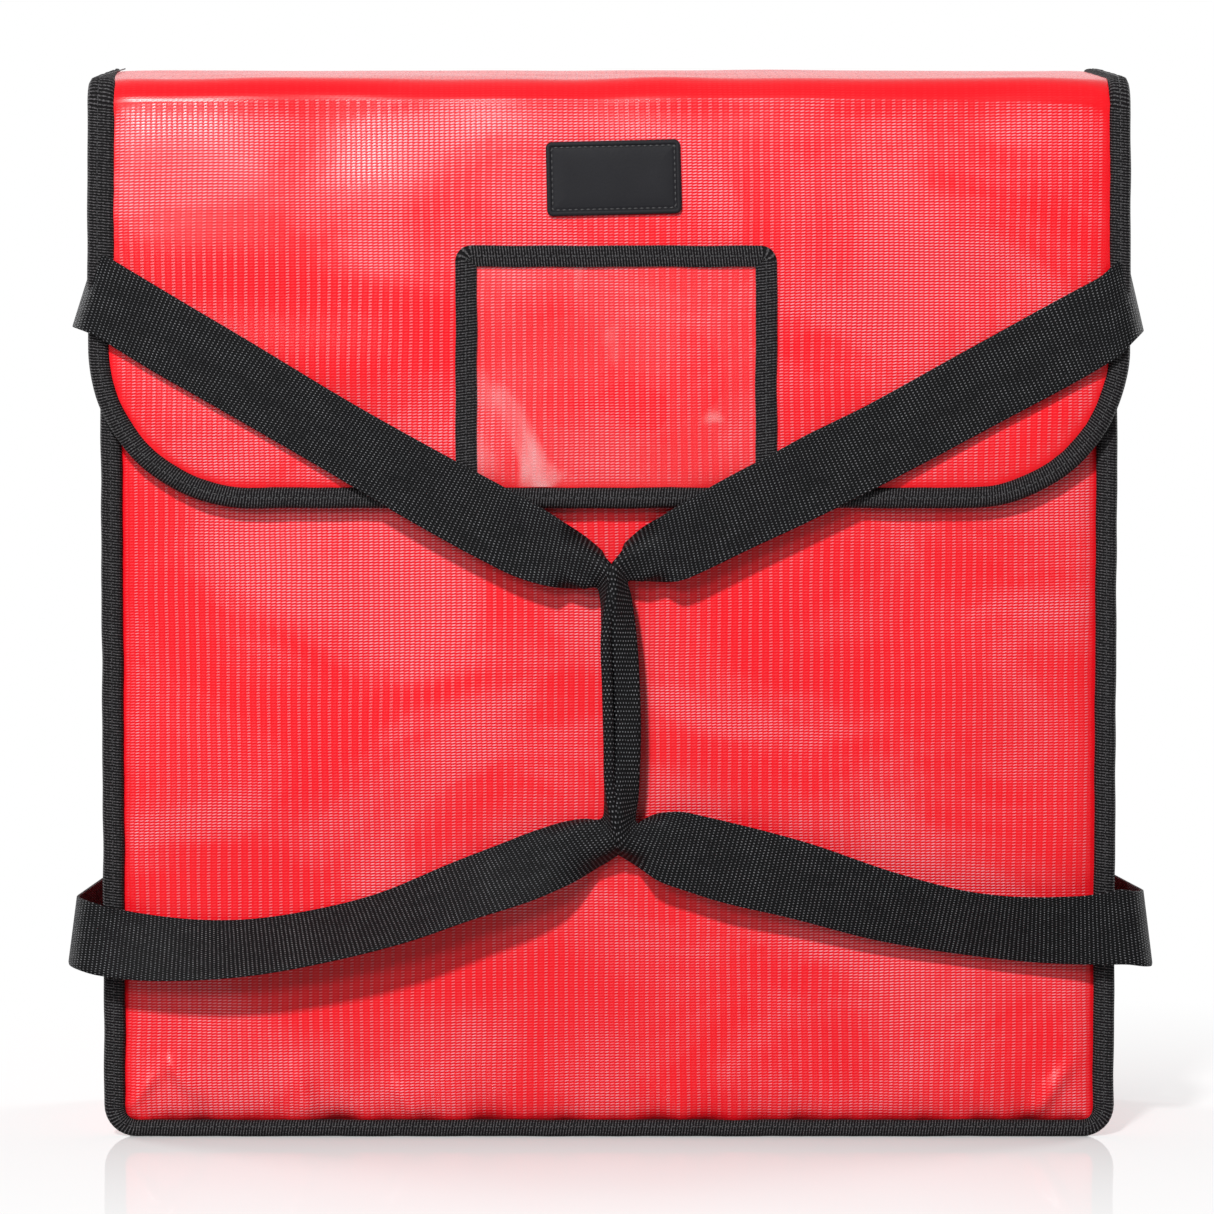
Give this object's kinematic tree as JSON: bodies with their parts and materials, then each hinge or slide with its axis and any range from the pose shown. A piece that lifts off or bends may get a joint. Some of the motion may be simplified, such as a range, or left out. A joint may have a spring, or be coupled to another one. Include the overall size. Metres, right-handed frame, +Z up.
{
  "type": "pizza delivery bag",
  "caption": "Upright insulated delivery bag with padded walls, a hinged lid and rounded flap, a clear ticket pocket and two folded webbing handles that meet at the front.",
  "frame": {"origin": "middle of the bottom face that the bag stands on", "axes": "+Z up, the flap and handles face -Y, +X to the right seen from the front"},
  "size_m": [0.5396, 0.1579, 0.541],
  "materials": {
    "vinyl": "satin",
    "foam": "matte",
    "lining": "satin",
    "seam_tape": "matte",
    "webbing": "matte",
    "hook_and_loop": "matte",
    "clear_vinyl": "gloss",
    "label_rubber": "matte"
  },
  "bodies": {
    "bag": {"front_skin": "vinyl", "front_foam": "foam", "front_lining": "lining", "back_skin": "vinyl", "back_foam": "foam", "back_lining": "lining", "left_skin": "vinyl", "left_foam": "foam", "left_lining": "lining", "right_skin": "vinyl", "right_foam": "foam", "right_lining": "lining", "bottom_skin": "vinyl", "bottom_foam": "foam", "bottom_lining": "lining", "front_seam_tape": "seam_tape", "back_seam_tape": "seam_tape", "mouth_tape": "seam_tape", "front_loop_strip": "hook_and_loop", "upper_back_strap": "webbing", "lower_back_strap": "webbing", "upper_left_side_strap": "webbing", "upper_right_side_strap": "webbing", "lower_left_side_strap": "webbing", "lower_right_side_strap": "webbing"},
    "lid": {"lid_skin": "vinyl", "lid_foam": "foam", "lid_lining": "lining", "lid_left_tape": "seam_tape", "lid_right_tape": "seam_tape"},
    "flap": {"flap_skin": "vinyl", "flap_foam": "foam", "flap_lining": "lining", "flap_tape": "seam_tape", "flap_hook_strip": "hook_and_loop", "ticket_pocket_tape": "seam_tape", "ticket_pocket_window": "clear_vinyl", "label_patch": "label_rubber"},
    "left_handle": {"left_upper_leg": "webbing", "left_grip": "webbing", "left_lower_leg": "webbing"},
    "right_handle": {"right_upper_leg": "webbing", "right_grip": "webbing", "right_lower_leg": "webbing"}
  },
  "joints": [
    {"name": "lid_hinge", "type": "hinge", "parent": "bag", "child": "lid", "pos_m": [0, 0.0645, 0.5325], "axis": [-1, 0, 0], "range_deg": [0, 180]},
    {"name": "flap_fold", "type": "hinge", "parent": "lid", "child": "flap", "pos_m": [0, -0.076, 0.5134], "axis": [-1, 0, 0], "range_deg": [0, 180]},
    {"name": "left_handle_swing", "type": "hinge", "parent": "bag", "child": "left_handle", "pos_m": [-0.264, -0.0645, 0.266], "axis": [0, 0, -1], "range_deg": [0, 180], "deforming": ["left_upper_leg", "left_lower_leg"]},
    {"name": "right_handle_swing", "type": "hinge", "parent": "bag", "child": "right_handle", "pos_m": [0.264, -0.0645, 0.266], "axis": [0, 0, 1], "range_deg": [0, 180], "deforming": ["right_upper_leg", "right_lower_leg"]}
  ]
}
